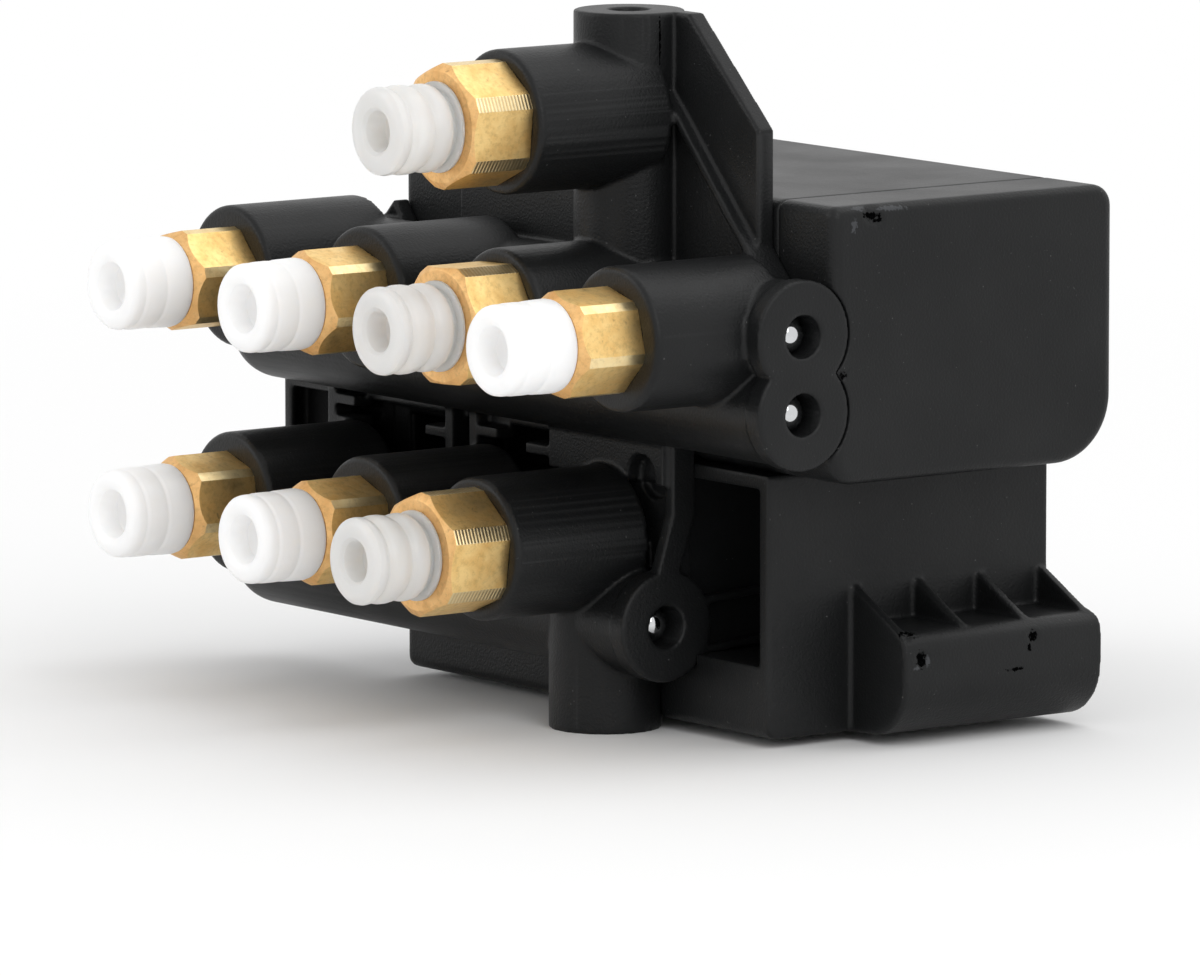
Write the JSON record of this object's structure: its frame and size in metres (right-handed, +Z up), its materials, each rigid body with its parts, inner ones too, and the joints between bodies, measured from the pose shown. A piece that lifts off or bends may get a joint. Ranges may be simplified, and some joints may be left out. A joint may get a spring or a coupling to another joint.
{
  "type": "air suspension valve block",
  "caption": "Black moulded solenoid valve block with rows of capped brass air ports, ball-plugged galleries and two stacked housings.",
  "frame": {"origin": "on the flat end of the lower stub, straight below the tower's axis", "axes": "+X along the ports to the end with the ball plugs, +Y away from the ports to the housings, +Z up the tower"},
  "size_m": [0.0972, 0.085, 0.0755],
  "materials": {
    "black_plastic": "fine matt grain",
    "brass": "turned, lightly tarnished",
    "white_plastic": "smooth white",
    "frosted_plastic": "frosted, lets some light through",
    "steel_ball": "polished",
    "steel": "machined",
    "zinc_plate": "zinc plated",
    "winding": "enamelled copper under a clear coat",
    "spring_wire": "bright wire",
    "rubber": "matt",
    "circuit_board": "lacquered",
    "tin_pin": "tin plated"
  },
  "bodies": {
    "block": {"manifold": "black_plastic", "upper_housing": "black_plastic", "upper_end_cap": "black_plastic", "lower_housing": "black_plastic", "lower_cover": "black_plastic", "upper_gallery_ball": "steel_ball", "second_gallery_ball": "steel_ball", "lower_gallery_ball": "steel_ball", "tube_collets": "steel", "port_seals": "rubber", "valve_cores": "steel", "upper_yoke": "zinc_plate", "lower_yoke": "zinc_plate", "circuit_board": "circuit_board", "pressure_sensor": "steel", "contact_pins": "tin_pin", "top_fitting": "brass", "top_cap": "frosted_plastic", "middle_1_fitting": "brass", "middle_1_cap": "white_plastic", "middle_2_fitting": "brass", "middle_2_cap": "frosted_plastic", "middle_3_fitting": "brass", "middle_3_cap": "white_plastic", "middle_4_fitting": "brass", "middle_4_cap": "white_plastic", "bottom_1_fitting": "brass", "bottom_1_cap": "frosted_plastic", "bottom_2_fitting": "brass", "bottom_2_cap": "white_plastic", "bottom_3_fitting": "brass", "bottom_3_cap": "white_plastic", "coil_1": "winding", "return_spring_1": "spring_wire", "coil_2": "winding", "return_spring_2": "spring_wire", "coil_3": "winding", "return_spring_3": "spring_wire", "coil_4": "winding", "return_spring_4": "spring_wire", "coil_5": "winding", "return_spring_5": "spring_wire", "coil_6": "winding", "return_spring_6": "spring_wire"},
    "plunger_1": {"plunger_1": "steel", "plunger_seal_1": "rubber"},
    "plunger_2": {"plunger_2": "steel", "plunger_seal_2": "rubber"},
    "plunger_3": {"plunger_3": "steel", "plunger_seal_3": "rubber"},
    "plunger_4": {"plunger_4": "steel", "plunger_seal_4": "rubber"},
    "plunger_5": {"plunger_5": "steel", "plunger_seal_5": "rubber"},
    "plunger_6": {"plunger_6": "steel", "plunger_seal_6": "rubber"}
  },
  "joints": [
    {"name": "plunger_1_slide", "type": "slide", "parent": "block", "child": "plunger_1", "axis": [0, 1, 0], "range_m": [0, 0.0007], "stiffness_N_per_m": 500, "springref_m": -0.002, "deforming": ["return_spring_1"]},
    {"name": "plunger_2_slide", "type": "slide", "parent": "block", "child": "plunger_2", "axis": [0, 1, 0], "range_m": [0, 0.0007], "stiffness_N_per_m": 500, "springref_m": -0.002, "deforming": ["return_spring_2"]},
    {"name": "plunger_3_slide", "type": "slide", "parent": "block", "child": "plunger_3", "axis": [0, 1, 0], "range_m": [0, 0.0007], "stiffness_N_per_m": 500, "springref_m": -0.002, "deforming": ["return_spring_3"]},
    {"name": "plunger_4_slide", "type": "slide", "parent": "block", "child": "plunger_4", "axis": [0, 1, 0], "range_m": [0, 0.0007], "stiffness_N_per_m": 500, "springref_m": -0.002, "deforming": ["return_spring_4"]},
    {"name": "plunger_5_slide", "type": "slide", "parent": "block", "child": "plunger_5", "axis": [0, 1, 0], "range_m": [0, 0.0007], "stiffness_N_per_m": 500, "springref_m": -0.002, "deforming": ["return_spring_5"]},
    {"name": "plunger_6_slide", "type": "slide", "parent": "block", "child": "plunger_6", "axis": [0, 1, 0], "range_m": [0, 0.0007], "stiffness_N_per_m": 500, "springref_m": -0.002, "deforming": ["return_spring_6"]}
  ]
}
